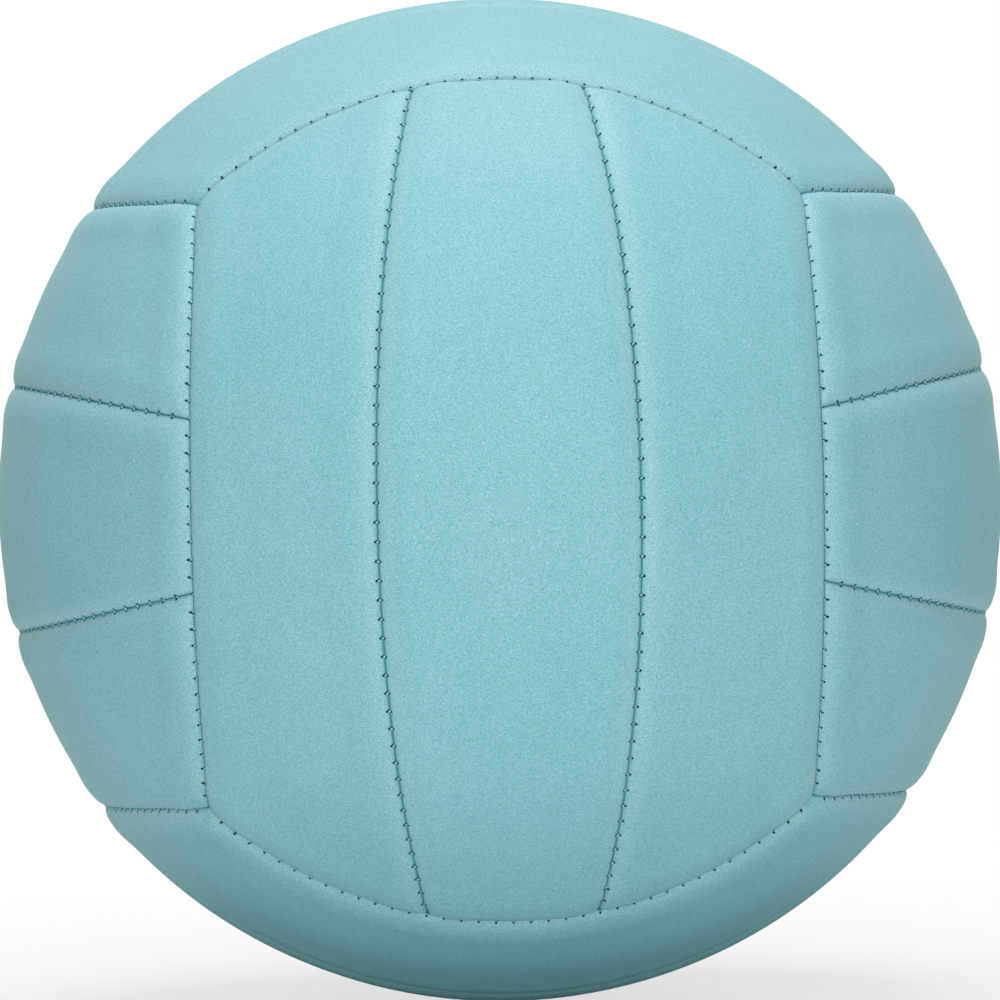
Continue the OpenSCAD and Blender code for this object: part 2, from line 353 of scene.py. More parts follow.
def bent_grid(s, gaps, drops, inner_columns, inner_rows, deepest):
    """Directions, drops, distances and runs for every crossing of the grid of strip s."""
    left, right = STRIP_SIDES[s]
    columns = grid_lines(left, right, gaps, drops, inner_columns)
    rows = grid_lines(*STRIP_ENDS, gaps, drops, inner_rows)
    p = crossings(columns, rows)
    powers = columns[2][:, None] ** EDGE_BLEND + rows[2][None, :] ** EDGE_BLEND
    drop = powers ** (1 / EDGE_BLEND)
    nearest = []
    for pair in (STRIP_SIDES[s], STRIP_ENDS):
        found = [from_seam(p, seam, grow) for seam, grow in pair]
        first = found[0][0] < found[1][0]
        gap = np.where(first, found[0][0], found[1][0])
        run = np.where(first, found[0][1], found[1][1])
        nearest.append((gap, run))
    return p, np.minimum(drop, deepest), nearest


def grid_mesh(name, shape):
    """A flat grid of quads made by the grid operator, and each vertex's column and row."""
    bm = bmesh.new()
    bmesh.ops.create_grid(bm, x_segments=shape[0] - 1, y_segments=shape[1] - 1, size=1)
    mesh = mesh_from(bm, name)
    flat = np.zeros(len(mesh.vertices) * 3, np.float32)
    mesh.vertices.foreach_get("co", flat)
    flat = flat.reshape(-1, 3)
    column = np.rint((flat[:, 0] + 1) / 2 * (shape[0] - 1)).astype(int)
    row = np.rint((flat[:, 1] + 1) / 2 * (shape[1] - 1)).astype(int)
    return mesh, column, row


def place_vertices(mesh, points):
    """Moves every vertex to its own point."""
    mesh.vertices.foreach_set("co", points.astype(np.float32).ravel())
    mesh.update()


# %% The hole for the valve's stem
HOLE_R = 4.7 * MM
# The grid is back in its own places at this many times the hole's cells from the middle.
HOLE_FADE = 2.6
HOLE_ROUND = 1.2 * MM
HOLE_DROP = 0.3 * MM
VALVE_RISE = 0.35 * MM
VALVE_RISE_REACH = 9 * MM
NO_LESS, ROUNDING = 1e-9, 1e-6


def open_hole(p, column, row, cells):
    """Draws the grid's middle, so many cells to each side, into a round hole.

    Returns the new directions, their distances from the hole's axis, and what lies inside it."""
    spread = np.maximum(
        np.abs(column - column.max() / 2) / cells[0], np.abs(row - row.max() / 2) / cells[1]
    )
    across, up = p[:, 0] * BALL_R, p[:, 2] * BALL_R
    radius = np.maximum(np.hypot(across, up), NO_LESS)
    keep = np.clip((spread - 1) / (HOLE_FADE - 1), 0, 1)
    wanted = HOLE_R * (1 - keep) + radius * keep
    wanted = np.where(spread >= HOLE_FADE, radius, wanted)
    moved = np.stack(
        [across / radius * wanted, p[:, 1] * BALL_R, up / radius * wanted], axis=1
    )
    inside = spread < 1 - ROUNDING
    return moved / np.linalg.norm(moved, axis=1)[:, None], wanted, inside


# %% Make the three shapes of cover, and the one with the hole
COVER_T = 0.9 * MM
SAME_PLACE = 0.001 * MM
# On a side strip, what is farther from the ball's middle plane than this share of the radius
# is nearer to the group seam than to the strip seam.
SIDE_MIDDLE = 0.42


def cover_mesh(s, with_hole):
    """Strip s of the front group: rolled edges, shoulders, puckers, and leather thickness."""
    columns = VALVE_COLUMNS if with_hole else INNER_COLUMNS
    p, drop, nearest = bent_grid(s, edge_gaps, edge_drops, columns, INNER_ROWS, TURNED_DOWN)
    mesh, column, row = grid_mesh("cover", p.shape[:2])
    p, drop = p[column, row], drop[column, row]
    nearest = [(gap[column, row], run[column, row]) for gap, run in nearest]
    (side_gap, side_run), (end_gap, end_run) = nearest
    by_group_seam = np.abs(p[:, 0]) > SIDE_MIDDLE
    side_end = np.where(by_group_seam, group_last, strip_last)
    rise = crown_rise(p) + shoulder(side_gap) + shoulder(end_gap)
    rise -= pucker(side_gap, side_run) + pucker(end_gap, end_run)
    inside = np.zeros(len(p), bool)
    if with_hole:
        p, radius, inside = open_hole(p, column, row, VALVE_CELLS)
        rise += VALVE_RISE * np.exp(-((radius / VALVE_RISE_REACH) ** 4))
        rise -= HOLE_DROP * np.clip(1 - (radius - HOLE_R) / HOLE_ROUND, 0, 1) ** 2
    place_vertices(mesh, p * (BALL_R + rise - drop)[:, None])
    # In a corner the walls of two sides cross on one upright line. Where their grid lines cross
    # each other there is no face, and the two walls are joined along that line.
    from_side, from_end = (np.minimum(place, place.max() - place) for place in (column, row))
    in_corner = np.maximum(from_side, from_end) < len(wall_gaps)
    side_gap = np.where(np.abs(side_run) > side_end + 0.5, FAR_AWAY, side_gap)
    end_gap = np.where(np.abs(end_run) > group_last + 0.5, FAR_AWAY, end_gap)
    store_values(mesh, side_gap=side_gap, side_run=side_run, end_gap=end_gap, end_run=end_run)
    bm = open_mesh(mesh, inside | in_corner)
    bmesh.ops.remove_doubles(bm, verts=bm.verts[:], dist=SAME_PLACE)
    faces_outward(bm)
    bmesh.ops.solidify(bm, geom=bm.faces[:], thickness=COVER_T)
    bm.to_mesh(mesh)
    bm.free()
    mesh.shade_smooth()
    return mesh


# The strips of a group, and last the middle strip with the valve's hole.
SHAPES = ((0, False), (1, False), (2, False), (1, True))
HOLED = 3
cover_shapes = [cover_mesh(s, with_hole) for s, with_hole in SHAPES]
for mesh in cover_shapes:
    far = max(v.co.length for v in mesh.vertices)
    print(f"cover: {len(mesh.polygons)} faces, reaches {far / MM:.2f} mm from the centre")

# %% [markdown]
# ## Put the covers on the ball
#
# The six groups are one group turned, so each cover is a copy of one of the shapes, turned by
# its group's matrix. The turn goes into the mesh and the object stays at the origin, as the
# CAD nodes do. Each cover stands for its CAD node.

# %% Add a finished piece


def add_object(name, data):
    """A new object in the scene."""
    item = bpy.data.objects.new(name, data)
    bpy.context.scene.collection.objects.link(item)
    return item


def add_piece(name, mesh, node, material):
    """A piece at the origin that rides on the ball and stands for a CAD node."""
    mesh.name = name
    piece = add_object(name, mesh)
    mesh.materials.clear()
    mesh.materials.append(material)
    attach(piece, "ball")
    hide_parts(node)
    return piece


def shape_number(group, s):
    """The number of the shape for strip s of a group: the back's middle strip has the hole."""
    return HOLED if (group, s) == ("back", 1) else s


# %% [markdown]
# ## Materials
#
# The leather is a foamed synthetic with a very fine pebbled face: matt, with a soft bright
# haze where the light grazes it. A noise at grain size drives both a small change of colour
# and a bump, and a large slow noise keeps it from looking like plastic. The stitch holes and
# their creases are painted shade: dark spots that the leather's own coordinates along the seams
# place. Beside the seams a paler band is a painted highlight.

# %% Helpers for node materials
# How dull a surface is and how much it shines, and the depth of its bump.
Finish = namedtuple("Finish", "roughness specular bump")
# A Mix node has sockets for every kind of value. These are the places of the colours' own.
MIX_SHARE, MIX_FIRST, MIX_SECOND, MIX_RESULT = 0, 6, 7, 2


def new_material(name):
    """A new material, its node tree and shader, and the piece's own coordinates."""
    material = bpy.data.materials.new(name)
    material.use_nodes = True
    tree = material.node_tree
    place = tree.nodes.new("ShaderNodeTexCoord").outputs["Object"]
    return material, tree, tree.nodes["Principled BSDF"], place


def plug(tree, socket, value):
    """Gives a socket another node's output, a colour or a number."""
    if isinstance(value, bpy.types.NodeSocket):
        tree.links.new(value, socket)
    elif isinstance(value, tuple):
        socket.default_value = (*value, 1)
    else:
        socket.default_value = value


def add_math(tree, operation, *values):
    node = tree.nodes.new("ShaderNodeMath")
    node.operation = operation
    for socket, value in zip(node.inputs, values):
        plug(tree, socket, value)
    return node.outputs[0]


def add_noise(tree, place, scale, detail, roughness=0.5):
    node = tree.nodes.new("ShaderNodeTexNoise")
    settings = {"Vector": place, "Scale": scale, "Detail": detail, "Roughness": roughness}
    for name, value in settings.items():
        plug(tree, node.inputs[name], value)
    return node.outputs["Fac"]


def mix_colors(tree, share, first, second):
    node = tree.nodes.new("ShaderNodeMix")
    node.data_type = "RGBA"
    for number, value in ((MIX_SHARE, share), (MIX_FIRST, first), (MIX_SECOND, second)):
        plug(tree, node.inputs[number], value)
    return node.outputs[MIX_RESULT]


def map_range(tree, value, low, high, to_low=0.0, to_high=1.0):
    """Eases a value from one range over to another."""
    node = tree.nodes.new("ShaderNodeMapRange")
    node.interpolation_type = "SMOOTHSTEP"
    limits = {"From Min": low, "From Max": high, "To Min": to_low, "To Max": to_high}
    for name, number in limits.items():
        node.inputs[name].default_value = number
    plug(tree, node.inputs["Value"], value)
    return node.outputs["Result"]


def read_value(tree, name):
    """The number that the mesh's vertices hold under a name."""
    node = tree.nodes.new("ShaderNodeAttribute")
    node.attribute_name = name
    return node.outputs["Fac"]


def dress(tree, shader, color, height, finish):
    """Gives a shader its colour, its bump and its finish."""
    bump = tree.nodes.new("ShaderNodeBump")
    plug(tree, bump.inputs["Distance"], finish.bump)
    plug(tree, bump.inputs["Height"], height)
    plug(tree, shader.inputs["Normal"], bump.outputs["Normal"])
    plug(tree, shader.inputs["Base Color"], color)
    plug(tree, shader.inputs["Roughness"], finish.roughness)
    plug(tree, shader.inputs["Specular IOR Level"], finish.specular)


# %% Painted shade in a stitch hole, and painted shadow along the crease that runs from it to the line of the seam
# The colour of the painted shade in a stitch hole and of the painted shadow in its crease.
HOLE_SHADE_COLOR = (0.0, 0.030, 0.045)
HOLE_GAP = 0.39 * MM
HOLE_HALF = 0.25 * MM
CREASE_GAP = 0.22 * MM
CREASE_LEAN = 1.2
CREASE_HALF_LENGTH = 0.28 * MM
CREASE_HALF_WIDTH = 0.15 * MM
# A spot's rim fades between these, as squared distances where the spot's size is 1.
RIM_START, RIM_END = 0.45, 1.6


def round_spot(tree, across, along, half_across, half_along):
    """1 inside an ellipse, 0 outside, with a soft rim."""
    across = add_math(tree, "DIVIDE", across, half_across)
    along = add_math(tree, "DIVIDE", along, half_along)
    squared = add_math(tree, "MULTIPLY", along, along)
    distance = add_math(tree, "MULTIPLY_ADD", across, across, squared)
    return map_range(tree, distance, RIM_START, RIM_END, 1, 0)


def stitch_hole_shade(tree, gap, run):
    """1 at the painted shade of every stitch hole and the painted shadow of its crease, from the
    leather's places along a seam.
    """
    along = add_math(tree, "WRAP", run, 0.5, -0.5)
    along = add_math(tree, "MULTIPLY", along, STRIP_PITCH)
    beside = add_math(tree, "SUBTRACT", gap, HOLE_GAP)
    hole_shade = round_spot(tree, beside, along, HOLE_HALF, HOLE_HALF)
    inward = add_math(tree, "SUBTRACT", gap, CREASE_GAP)
    leaning = add_math(tree, "MULTIPLY_ADD", beside, CREASE_LEAN, along)
    crease_shadow = round_spot(tree, inward, leaning, CREASE_HALF_LENGTH, CREASE_HALF_WIDTH)
    return add_math(tree, "MAXIMUM", hole_shade, crease_shadow)


# %% Leather for the covers
LEATHER_DEEP = (0.190, 0.458, 0.494)
LEATHER_PALE = (0.230, 0.500, 0.537)
LEATHER_FINISH = Finish(0.5, 0.2, 0.05 * MM)
MOTTLE_SCALE = 45
GRAIN_SCALE = 5000
GRAIN_LOW, GRAIN_HIGH = 0.25, 0.75
# The grain multiplies the colour by something between these, most strongly in the red.
GRAIN_PIT, GRAIN_TOP = (0.53, 0.73, 0.73), (1.47, 1.27, 1.27)
# Painted highlight: the edges are paler, as light on their raised shoulders, at full strength up
# to the first distance from the seam.
LEATHER_EDGE_HIGHLIGHT = (0.340, 0.545, 0.583)
EDGE_HIGHLIGHT_FULL, EDGE_HIGHLIGHT_END = 0.8 * MM, 4.5 * MM
EDGE_HIGHLIGHT_SHARE = 0.3
# The depth of a stitch hole, as a multiple of the grain's.
HOLE_SINK = -4.0


def leather_material():
    material, tree, shader, place = new_material("cover_leather")
    grain = add_noise(tree, place, GRAIN_SCALE, 2)
    mottle = add_noise(tree, place, MOTTLE_SCALE, 3)
    color = mix_colors(tree, mottle, LEATHER_DEEP, LEATHER_PALE)
    hole_shades, pale_tone = [], []
    for which in ("side", "end"):
        gap = read_value(tree, f"{which}_gap")
        run = read_value(tree, f"{which}_run")
        hole_shades.append(stitch_hole_shade(tree, gap, run))
        pale_tone.append(map_range(tree, gap, EDGE_HIGHLIGHT_FULL, EDGE_HIGHLIGHT_END, 1, 0))
    # Toward the seams the colour turns paler: a painted highlight on the raised edges.
    edge = add_math(tree, "MAXIMUM", *pale_tone)
    edge = add_math(tree, "MULTIPLY", edge, EDGE_HIGHLIGHT_SHARE)
    color = mix_colors(tree, edge, color, LEATHER_EDGE_HIGHLIGHT)
    pebble = map_range(tree, grain, GRAIN_LOW, GRAIN_HIGH)
    grained = tree.nodes.new("ShaderNodeVectorMath")
    grained.operation = "MULTIPLY"
    plug(tree, grained.inputs[0], color)
    plug(tree, grained.inputs[1], mix_colors(tree, pebble, GRAIN_PIT, GRAIN_TOP))
    # The stitch holes and their creases are painted shade: the colour turns dark there, and the
    # bump sinks.
    hole_shade = add_math(tree, "MAXIMUM", *hole_shades)
    color = mix_colors(tree, hole_shade, grained.outputs[0], HOLE_SHADE_COLOR)
    height = add_math(tree, "MULTIPLY_ADD", hole_shade, HOLE_SINK, grain)
    dress(tree, shader, color, height, LEATHER_FINISH)
    return material


leather = leather_material()
print("material:", leather.name)

# %% Copy the covers into their groups
for group, (turn, strips) in GROUPS.items():
    for s, strip in enumerate(strips):
        shape = cover_shapes[shape_number(group, s)].copy()
        shape.transform(turn)
        node = f"{group}_{strip}_cover"
        add_piece(f"{node}_leather", shape, node, leather)
for mesh in cover_shapes:
    bpy.data.meshes.remove(mesh)
print("covers placed")

# %% [markdown]
# ## Behind the leather: sponge and cloth
#
# Each strip hides a slab of white sponge that makes the ball soft to the hand, and a cloth
# lining that keeps the cover from stretching. Both are cut like the strip, so they come from
# the same bent grid with a wider inset. The grid is laid at the slab's underside and extruded
# outwards: every new vertex is lifted to the height that an attribute holds.

# %% A slab behind a strip
GLUE_T = 0.1 * MM
SPONGE_T = 2.5 * MM
LINING_T = 0.4 * MM
SPONGE_R = BALL_R - COVER_T - GLUE_T
LINING_R = SPONGE_R - SPONGE_T - GLUE_T
LAYER_INSET = SEAM_INSET + COVER_T + GLUE_T
SLAB_GRID = (9, 45)
VALVE_SLAB_GRID = (27, 117)
VALVE_SLAB_CELLS = (3, 4)
# A lining's edge is square, and the grid's second line is this far from it.
SQUARE_EDGE = 1 * MM
SHARP_FOLD = math.radians(40)
slab_crown_gaps = np.array([4.5, 6.5, 9.0]) * MM


def slab_mesh(s, with_hole, top_r, low_r, follows_cover):
    """A closed slab behind strip s of the front group, from radius low_r up to top_r."""
    if follows_cover:
        gaps, drops = rolled_edge(LAYER_INSET, EDGE_R - COVER_T - GLUE_T, SLOPE_R - COVER_T)
    else:
        gaps, drops = np.array([LAYER_INSET, LAYER_INSET + SQUARE_EDGE]), np.zeros(2)
    gaps = np.concatenate([gaps, slab_crown_gaps])
    drops = np.concatenate([drops, np.zeros(len(slab_crown_gaps))])
    inner = VALVE_SLAB_GRID if with_hole else SLAB_GRID
    p, drop, _ = bent_grid(s, gaps, drops, *inner, drops[0])
    mesh, column, row = grid_mesh("slab", p.shape[:2])
    p, drop = p[column, row], drop[column, row]
    inside = np.zeros(len(p), bool)
    if with_hole:
        p, _, inside = open_hole(p, column, row, VALVE_SLAB_CELLS)
    rise = crown_rise(p) if follows_cover else np.zeros(len(p))
    place_vertices(mesh, p * low_r)
    across, up = np.arctan2(p[:, 0], -p[:, 1]) * low_r, np.arcsin(p[:, 2]) * low_r
    store_values(mesh, top_r=top_r + rise - drop, across=across, up=up)
    bm = open_mesh(mesh, inside)
    faces_outward(bm)
    top = bmesh.ops.extrude_face_region(bm, geom=bm.faces[:], use_keep_orig=True)["geom"]
    height = bm.verts.layers.float["top_r"]
    for v in top:
        if isinstance(v, bmesh.types.BMVert):
            v.co *= v[height] / v.co.length
    bmesh.ops.recalc_face_normals(bm, faces=bm.faces[:])
    bm.to_mesh(mesh)
    bm.free()
    mesh.shade_smooth()
    mesh.set_sharp_from_angle(angle=SHARP_FOLD)
    return mesh


# %% Foam and woven cloth
FOAM_DEEP, FOAM_PALE = (0.62, 0.62, 0.55), (0.86, 0.86, 0.80)
FOAM_FINISH = Finish(0.95, 0.2, 0.1 * MM)
CELL_SCALE, CELL_SHARE = 1400, 0.8
FOAM_CLOUD_SCALE = 90
CLOTH_DARK, CLOTH_PALE = (0.46, 0.42, 0.33), (0.78, 0.74, 0.63)
CLOTH_FINISH = Finish(0.9, 0.2, 0.1 * MM)
YARN_PITCH, YARN_SHARE = 0.6 * MM, 0.6
SLUB_SCALE = 500
# A pattern and its clouds are added up, and the colour changes between these sums.
TONE_LOW, TONE_HIGH = 0.3, 1.2


def foam_material():
    material, tree, shader, place = new_material("backing_foam")
    voronoi = tree.nodes.new("ShaderNodeTexVoronoi")
    plug(tree, voronoi.inputs["Scale"], CELL_SCALE)
    plug(tree, voronoi.inputs["Vector"], place)
    cells = voronoi.outputs["Distance"]
    clouds = add_noise(tree, place, FOAM_CLOUD_SCALE, 3)
    tone = add_math(tree, "MULTIPLY_ADD", cells, CELL_SHARE, clouds)
    tone = map_range(tree, tone, TONE_LOW, TONE_HIGH)
    dress(tree, shader, mix_colors(tree, tone, FOAM_PALE, FOAM_DEEP), cells, FOAM_FINISH)
    return material


def woven_material(name, dark, pale):
    """A plain weave that follows the piece's own measures across and up it."""
    material, tree, shader, place = new_material(name)
    waves = []
    for what in ("across", "up"):
        turns = add_math(tree, "MULTIPLY", read_value(tree, what), math.pi / YARN_PITCH)
        waves.append(add_math(tree, "SINE", turns))
    height = map_range(tree, add_math(tree, "MULTIPLY", *waves), -1, 1)
    slub = add_noise(tree, place, SLUB_SCALE, 3)
    tone = add_math(tree, "MULTIPLY_ADD", height, YARN_SHARE, slub)
    tone = map_range(tree, tone, TONE_LOW, TONE_HIGH)
    dress(tree, shader, mix_colors(tree, tone, dark, pale), height, CLOTH_FINISH)
    return material


foam = foam_material()
cloth = woven_material("lining_weave", CLOTH_DARK, CLOTH_PALE)
print("materials:", foam.name, "and", cloth.name)


def layer_shapes(top_r, low_r, follows_cover):
    """The slabs behind the three strips of a group, and the one with the valve's hole."""
    return [slab_mesh(s, with_hole, top_r, low_r, follows_cover) for s, with_hole in SHAPES]


def cut_size(mesh):
    """Width, length and area of the flat piece that a thin slab was cut from."""
    reach = [[d.value for d in mesh.attributes[what].data] for what in ("across", "up")]
    width, length = (max(r) - min(r) for r in reach)
    return (width, length), sum(f.area for f in mesh.polygons) / 2


sponge_shapes = layer_shapes(SPONGE_R, SPONGE_R - SPONGE_T, True)
lining_shapes = layer_shapes(LINING_R, LINING_R - LINING_T, False)
lining_cuts = [cut_size(mesh) for mesh in lining_shapes]
for group, (turn, strips) in GROUPS.items():
    for s, strip in enumerate(strips):
        which = shape_number(group, s)
        shape = sponge_shapes[which].copy()
        shape.transform(turn)
        node = f"{group}_{strip}_sponge"
        sponge = add_piece(f"{node}_foam", shape, node, foam)
        flat, area = lining_cuts[which]
        shape = lining_shapes[which].copy()
        shape.transform(turn)
        node = f"{group}_{strip}_lining"
        lining = add_piece(f"{node}_cloth", shape, node, cloth)
for mesh in sponge_shapes + lining_shapes:
    bpy.data.meshes.remove(mesh)
for label, (flat, area) in zip(("side", "middle"), lining_cuts):
    print(f"{label} lining cut {flat[0] / MM:.0f} by {flat[1] / MM:.0f} mm, {area:.4f} m2")

# %% [markdown]
# ## The bladder and its valve
#
# The bladder is a thin ball of rubber that holds the air. Around the valve a round cloth patch
# strengthens the lining, and the bladder steps in to make room for it. Both are round about
# the valve's axis, so their outlines are drawn once with extruded points and spun. The
# housing and the core are right as they come from the frame, and only get their rubber.

# %% Spin an outline about the valve's axis
SPIN_STEPS = 96


def spun_mesh(name, outline):
    """Spins a closed outline of (distance from the axis, place along +Y) about +Y."""
    bm = bmesh.new()
    first = bmesh.ops.create_vert(bm, co=(outline[0][0], outline[0][1], 0))["vert"][0]
    last = first
    for x, y in outline[1:]:
        new = bmesh.ops.extrude_vert_indiv(bm, verts=[last])["verts"][0]
        new.co = (x, y, 0)
        last = new
    bmesh.ops.contextual_create(bm, geom=[last, first])
    bmesh.ops.spin(
        bm, geom=bm.verts[:] + bm.edges[:], cent=(0, 0, 0), axis=(0, 1, 0),
        angle=2 * math.pi, steps=SPIN_STEPS, use_merge=True,
    )
    bmesh.ops.remove_doubles(bm, verts=bm.verts[:], dist=SAME_PLACE)
    bmesh.ops.recalc_face_normals(bm, faces=bm.faces[:])
    mesh = mesh_from(bm, name)
    mesh.shade_smooth()
    mesh.set_sharp_from_angle(angle=SHARP_FOLD)
    return mesh


def arc_points(radius, from_x, to_x, steps):
    """Points of a circle about the origin, by their distances from the axis, at positive y."""
    start, end = math.asin(from_x / radius), math.asin(to_x / radius)
    return [(radius * math.sin(a), radius * math.cos(a)) for a in np.linspace(start, end, steps)]


# %% Bladder and patch
BLADDER_R = LINING_R - LINING_T
BLADDER_WALL = 0.7 * MM
PATCH_T = 0.3 * MM
patch_low, patch_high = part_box("valve_patch")
PATCH_R = (patch_high.x - patch_low.x) / 2
STEM_R = 4.5 * MM
BLADDER_HOLE_R = STEM_R + GLUE_T
# The bladder steps in over this width around the patch.
STEP_ACROSS = 1.2 * MM
DENT_POINTS, PATCH_POINTS, BLADDER_POINTS = 6, 8, 48


def bladder_line(radius, dent_x):
    """One side of the bladder's wall, from the stem's hole past the step and right round."""
    dented = radius - PATCH_T - GLUE_T
    points = arc_points(dented, BLADDER_HOLE_R, dent_x, DENT_POINTS)
    start = math.asin((dent_x + STEP_ACROSS) / radius)
    angles = np.linspace(start, math.pi - 0.5 / BLADDER_POINTS, BLADDER_POINTS)
    points += [(radius * math.sin(a), radius * math.cos(a)) for a in angles]
    return points + [(0, -radius)]


outer = bladder_line(BLADDER_R, PATCH_R + GLUE_T)
inner = bladder_line(BLADDER_R - BLADDER_WALL, PATCH_R + GLUE_T + BLADDER_WALL)
bladder_mesh = spun_mesh("bladder_skin", outer + inner[::-1])
patch_top = arc_points(BLADDER_R, HOLE_R, PATCH_R, PATCH_POINTS)
patch_underside = arc_points(BLADDER_R - PATCH_T, HOLE_R, PATCH_R, PATCH_POINTS)
patch_mesh = spun_mesh("patch_cloth_ring", patch_top + patch_underside[::-1])
patch_places = [v.co for v in patch_mesh.vertices]
store_values(patch_mesh, across=[p.x for p in patch_places], up=[p.z for p in patch_places])
print(f"bladder {len(bladder_mesh.polygons)} faces, patch {len(patch_mesh.polygons)} faces")

# %% Rubber
RUBBER_BLACK, RUBBER_WORN = (0.012, 0.012, 0.013), (0.055, 0.055, 0.058)
HOUSING_BLACK = (0.018, 0.018, 0.020)
CORE_BLACK, CORE_WORN = (0.030, 0.030, 0.032), (0.085, 0.085, 0.088)
RUBBER_SPECULAR = 0.4
RUBBER_BUMP = 0.03 * MM
DUST_SCALE, DUST_ROUGHNESS = 120, 0.6
# The dust's noise changes the colour between the first two, and the dullness between these.
DUST_LOW, DUST_HIGH = 0.35, 0.7
DULL_LOW, DULL_HIGH = 0.3, 0.7
LESS_DULL, MORE_DULL = 0.08, 0.1


def rubber_material(name, deep, pale_tone, roughness, grain_scale):
    """Moulded rubber: dull, with a fine grain and dusty cloudy patches."""
    material, tree, shader, place = new_material(name)
    dust = add_noise(tree, place, DUST_SCALE, 4, DUST_ROUGHNESS)
    grain = add_noise(tree, place, grain_scale, 2)
    color = mix_colors(tree, map_range(tree, dust, DUST_LOW, DUST_HIGH), deep, pale_tone)
    least, most = roughness - LESS_DULL, roughness + MORE_DULL
    dull = map_range(tree, dust, DULL_LOW, DULL_HIGH, least, most)
    dress(tree, shader, color, grain, Finish(dull, RUBBER_SPECULAR, RUBBER_BUMP))
    return material


bladder_rubber = rubber_material("bladder_rubber", RUBBER_BLACK, RUBBER_WORN, 0.5, 900)
housing_rubber = rubber_material("housing_rubber", HOUSING_BLACK, RUBBER_WORN, 0.55, 1800)
core_rubber = rubber_material("core_rubber", CORE_BLACK, CORE_WORN, 0.5, 2200)
add_piece("bladder_skin", bladder_mesh, "bladder", bladder_rubber)
patch = add_piece("valve_patch_cloth", patch_mesh, "valve_patch", cloth)
for node, material in (("valve_housing", housing_rubber), ("valve_core", core_rubber)):
    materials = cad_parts[node].data.materials
    materials.clear()
    materials.append(material)
    print(node, "gets", material.name)

# %% [markdown]
# ## Thread
#
# What shows of the sewing is a thin dark line where the two edges close, and every few
# millimetres a short pale stitch that crosses it. The line is the shade in the gap, and here
# it is painted shade: a thin dark cord spun about the seam's axis. A stitch is a small ring of
# six sides, spun through part of a turn into an arch, and copied along the seams with a little
# unevenness, because a sewing machine is not perfect.

# %% Material for the thread, and for the painted shade of the seam's line
# The line's colour is painted shade: a dark cord where the gap between the edges lies in shade.
VALLEY_SHADE_COLOR = (0.030, 0.310, 0.350)
STITCH_COLOR = (0.300, 0.660, 0.720)
THREAD_FINISH = Finish(0.7, 0.3, 0.05 * MM)
FIBRE_SCALE = 4200
FIBRE_SHADE = 0.75


def thread_and_shade_material(name, color):
    material, tree, shader, place = new_material(name)
    fibre = add_noise(tree, place, FIBRE_SCALE, 2)
    dark = tuple(c * FIBRE_SHADE for c in color)
    dress(tree, shader, mix_colors(tree, fibre, dark, color), fibre, THREAD_FINISH)
    return material


valley_shade_cord = thread_and_shade_material("valley_shade_cord", VALLEY_SHADE_COLOR)
stitch_thread = thread_and_shade_material("stitch_thread", STITCH_COLOR)
print("materials:", valley_shade_cord.name, "and", stitch_thread.name)

# %% Places on a seam, and a closed tube


def seam_place(seam, angle):
    """Direction to a place on a seam, and the direction in which the seam runs there."""
    middle, along = seam_frame(seam)
    out = math.cos(seam.polar) * seam.axis + math.sin(seam.polar) * (
        math.cos(angle) * middle + math.sin(angle) * along
    )
    return out, -math.sin(angle) * middle + math.cos(angle) * along


def valley_rise(p):
    """Height over the round ball where an edge closes on the next, for unit directions p."""
    return crown_rise(p) + shoulder(0.0)


def sweep_ring(bm, centre, axis, angle, steps):
    """Spins the ring in bm into a tube and closes both its ends."""
    geom = bm.verts[:] + bm.edges[:]
    bmesh.ops.spin(bm, geom=geom, cent=centre, axis=axis, angle=angle, steps=steps)
    bmesh.ops.holes_fill(bm, edges=[e for e in bm.edges if e.is_boundary], sides=0)
    bmesh.ops.recalc_face_normals(bm, faces=bm.faces[:])


# %% The line of a seam, a cord of painted shade
LINE_R = 0.16 * MM
LINE_DEPTH = 1.12 * MM
LINE_SIDES, LINE_STEPS = 8, 110


def line_mesh(seam, span, clear):
    """A thin dark cord of painted shade in the valley of a seam, which stops short of the seams
    it ends on.
    """
    half = span - clear / (BALL_R * math.sin(seam.polar))
    start, tangent = seam_place(seam, -half)
    across = np.cross(tangent, start)
    bm = bmesh.new()
    bmesh.ops.create_circle(bm, segments=LINE_SIDES, radius=LINE_R)
    to_start = Matrix((across, start, tangent)).transposed().to_4x4()
    to_start.translation = Vector(start * (BALL_R - LINE_DEPTH))
    bmesh.ops.transform(bm, matrix=to_start, verts=bm.verts[:])
    sweep_ring(bm, (0, 0, 0), Vector(seam.axis), 2 * half, LINE_STEPS)
    for v in bm.verts:
        direction = v.co.normalized()
        v.co += direction * float(valley_rise(np.array(direction)))
    return mesh_from(bm, "line")


# %% One stitch
STITCH_R = 0.17 * MM
STITCH_HALF = 0.22 * MM
STITCH_ARCH = 0.10 * MM
STITCH_SIDES, STITCH_STEPS = 6, 4


def stitch_mesh():
    """An arch across the seam: x is across, y along and z out of the ball."""
    bend_r = (STITCH_HALF**2 + STITCH_ARCH**2) / (2 * STITCH_ARCH)
    half = math.asin(STITCH_HALF / bend_r)
    bend_centre = Vector((0, 0, -bend_r))
    bm = bmesh.new()
    bmesh.ops.create_circle(bm, segments=STITCH_SIDES, radius=STITCH_R)
    for centre, angle in (((0, 0, 0), math.pi / 2), (bend_centre, -half)):
        matrix = Matrix.Rotation(angle, 3, "Y")
        bmesh.ops.rotate(bm, verts=bm.verts[:], cent=centre, matrix=matrix)
    sweep_ring(bm, bend_centre, (0, 1, 0), 2 * half, STITCH_STEPS)
    # The operator that turns faces outward leaves so small a piece as it is.
    faces_outward(bm)
    return mesh_from(bm, "stitch")


